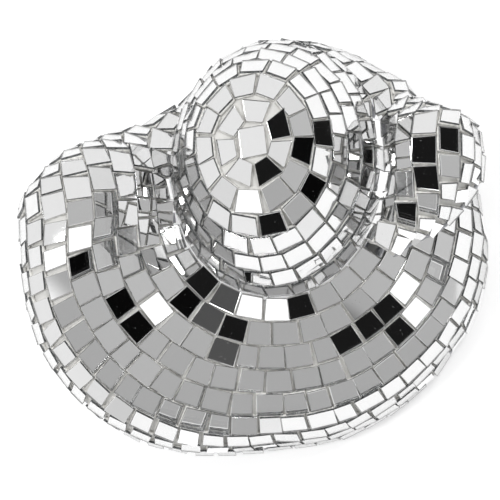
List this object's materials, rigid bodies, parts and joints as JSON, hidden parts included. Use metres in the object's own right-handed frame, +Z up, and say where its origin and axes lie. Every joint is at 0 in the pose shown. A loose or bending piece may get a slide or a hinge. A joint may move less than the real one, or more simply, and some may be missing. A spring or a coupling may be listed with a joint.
{
  "type": "party hat",
  "caption": "Wearable hat with an oval domed crown and a wide wavy wrap-over brim, covered all over in rings of square silver mirror tiles.",
  "frame": {"origin": "middle of the hat's footprint on the surface it stands on", "axes": "+Z up through the crown, +X towards the side with the raised flap, +Y towards the back of the hat, so the wide brim at the front faces -Y"},
  "size_m": [0.3886, 0.363, 0.238],
  "materials": {
    "mirror_glass": "silvered glass squares, polished",
    "felt": "white wool felt with glue, matt",
    "lining": "grey satin",
    "sweatband": "black grosgrain",
    "wire": "millinery wire",
    "binding": "silver edge ribbon"
  },
  "bodies": {
    "root": {"crown_felt_tip": "felt", "crown_felt_side_1": "felt", "crown_felt_side_2": "felt", "crown_felt_side_3": "felt", "crown_felt_side_4": "felt", "crown_lining": "lining", "sweatband": "sweatband", "brim_felt_1": "felt", "brim_felt_2": "felt", "brim_felt_3": "felt", "brim_felt_4": "felt", "brim_felt_5": "felt", "brim_felt_6": "felt", "brim_felt_7": "felt", "underbrim_lining": "lining", "brim_wire": "wire", "brim_binding_1": "binding", "brim_binding_2": "binding", "brim_binding_3": "binding", "brim_binding_4": "binding", "crown_centre_tile": "mirror_glass", "crown_tile_ring_1": "mirror_glass", "crown_tile_ring_2": "mirror_glass", "crown_tile_ring_3": "mirror_glass", "crown_tile_ring_4": "mirror_glass", "crown_tile_ring_5": "mirror_glass", "crown_tile_ring_6": "mirror_glass", "crown_tile_ring_7": "mirror_glass", "brim_tile_ring_1": "mirror_glass", "brim_tile_ring_2": "mirror_glass", "brim_tile_ring_3": "mirror_glass", "brim_tile_ring_4": "mirror_glass", "brim_tile_ring_5": "mirror_glass", "brim_tile_ring_6": "mirror_glass", "brim_tile_ring_7": "mirror_glass", "brim_tile_ring_8": "mirror_glass", "brim_tile_ring_9": "mirror_glass"}
  },
  "joints": []
}
